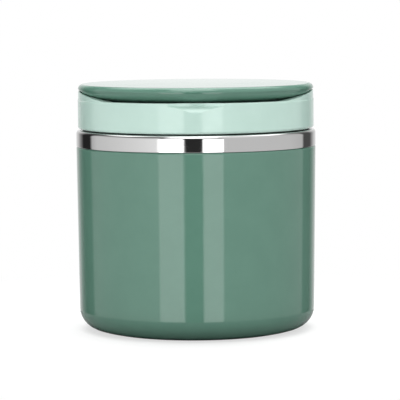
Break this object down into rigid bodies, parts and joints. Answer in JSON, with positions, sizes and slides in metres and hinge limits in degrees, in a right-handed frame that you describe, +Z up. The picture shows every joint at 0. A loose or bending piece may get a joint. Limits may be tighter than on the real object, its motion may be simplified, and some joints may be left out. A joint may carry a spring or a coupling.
{
  "type": "soup cup",
  "caption": "Squat insulated soup cup: steel pot in a glossy green casing, pale screw collar, and a flat cover that flips up on a hinge at the back.",
  "frame": {"origin": "middle of the foot's underside, on the table", "axes": "+Z up along the cup's axis, -Y towards the thumb scoop, +Y towards the hinge, +X to the right seen from the front"},
  "size_m": [0.112, 0.1151, 0.1152],
  "materials": {
    "green_gloss": "gloss",
    "mint_gloss": "gloss",
    "white_plastic": "satin",
    "polished_steel": "polished",
    "satin_steel": "satin",
    "pin_steel": "satin",
    "pale_silicone": "matte",
    "dark_silicone": "matte",
    "grey_foam": "matte",
    "white_foam": "matte",
    "solder": "gloss",
    "getter_grey": "matte"
  },
  "bodies": {
    "cup": {"casing": "green_gloss", "foot_pad": "dark_silicone", "base_cushion": "grey_foam", "base_pan": "satin_steel", "vacuum_plug": "solder", "getter": "getter_grey", "outer_shell": "polished_steel", "inner_pot": "satin_steel"},
    "lid_seal": {"lid_gasket": "pale_silicone"},
    "lid": {"lid_collar": "mint_gloss", "thread_insert": "white_plastic", "hinge_pin": "pin_steel"},
    "cover": {"cover_top": "green_gloss", "cover_base": "green_gloss", "cover_foam": "white_foam", "cover_seal": "pale_silicone"}
  },
  "joints": [
    {"name": "lid_lift", "type": "slide", "parent": "cup", "child": "lid_seal", "axis": [0, 0, 1], "range_m": [0, 0.012]},
    {"name": "lid_turn", "type": "hinge", "parent": "lid_seal", "child": "lid", "pos_m": [0, 0, 0.1], "axis": [0, 0, 1], "range_deg": [0, 360]},
    {"name": "cover_flip", "type": "hinge", "parent": "lid", "child": "cover", "pos_m": [0, 0.05673, 0.1109], "axis": [-1, 0, 0], "range_deg": [0, 110]}
  ],
  "couplings": [
    {"joint": "lid_lift", "follows": "lid_turn", "m_per_rad": 0.0019099}
  ]
}
